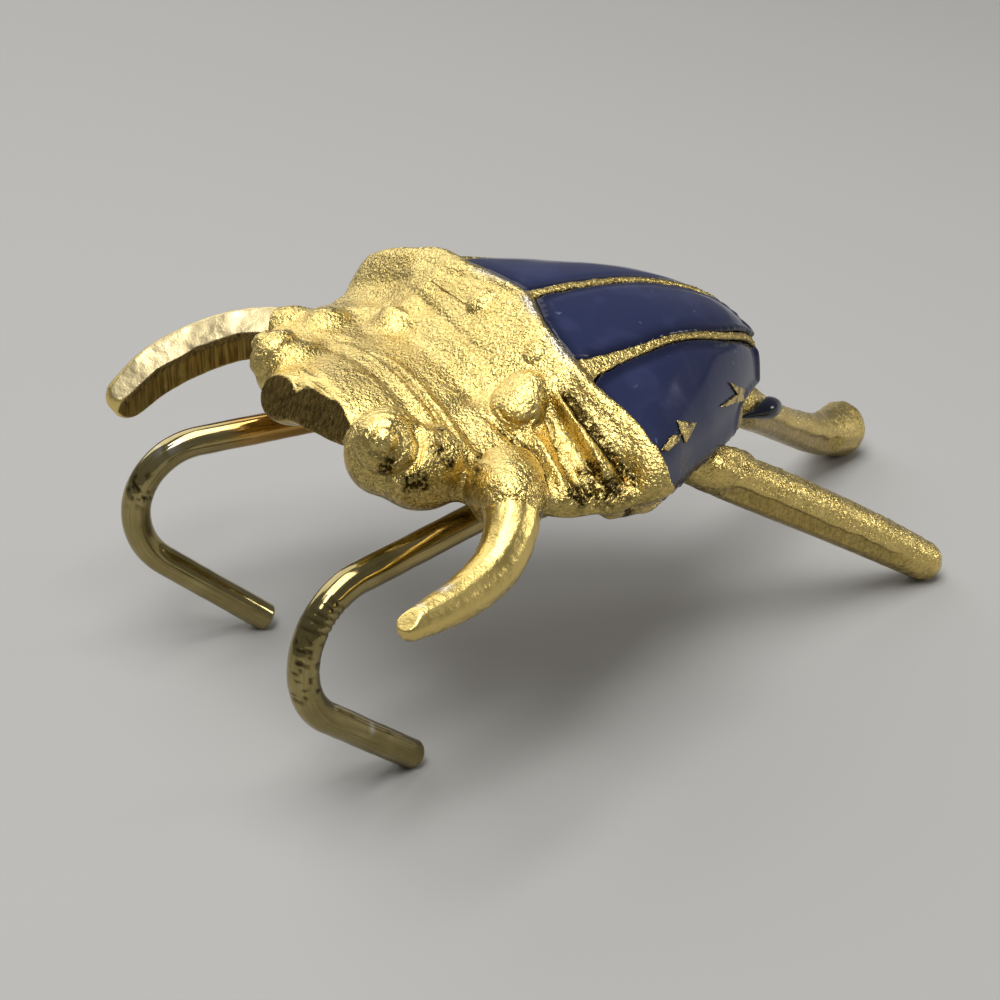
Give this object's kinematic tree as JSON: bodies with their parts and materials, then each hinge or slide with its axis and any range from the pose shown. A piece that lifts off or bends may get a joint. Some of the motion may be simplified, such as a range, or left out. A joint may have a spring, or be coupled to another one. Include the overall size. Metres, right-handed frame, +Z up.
{
  "type": "scarab beetle paperweight",
  "caption": "Gold-plated cast scarab beetle with dark blue enamelled wing cases, cast legs and bent wire front feet, a small desk paperweight.",
  "frame": {"origin": "on the surface it stands on, under the middle of its box", "axes": "+Z up, head towards -Y, tail and rear legs towards +Y, the beetle's own left side towards +X"},
  "size_m": [0.0566, 0.0898, 0.0372],
  "materials": {
    "cast_gold": "gold plate over an as-cast grainy skin",
    "leg_gold": "gold plate over a filed and tumbled skin",
    "wire_gold": "gold plate over smooth drawn wire, worn at the bends",
    "blue_enamel": "glossy cold enamel, scratched",
    "dark_enamel": "glossy cold enamel, thick",
    "solder": "flowed solder under the plating"
  },
  "bodies": {
    "root": {"body_casting": "cast_gold", "enamel_left_outer": "blue_enamel", "enamel_left_inner": "blue_enamel", "enamel_right_outer": "blue_enamel", "enamel_right_inner": "blue_enamel", "enamel_drip": "dark_enamel", "front_leg_left": "leg_gold", "front_leg_right": "leg_gold", "rear_leg_left": "leg_gold", "rear_leg_right": "leg_gold", "wire_foot_left": "wire_gold", "wire_foot_right": "wire_gold", "solder_left_front": "solder", "solder_left_rear": "solder", "solder_right_front": "solder", "solder_right_rear": "solder"}
  },
  "joints": []
}
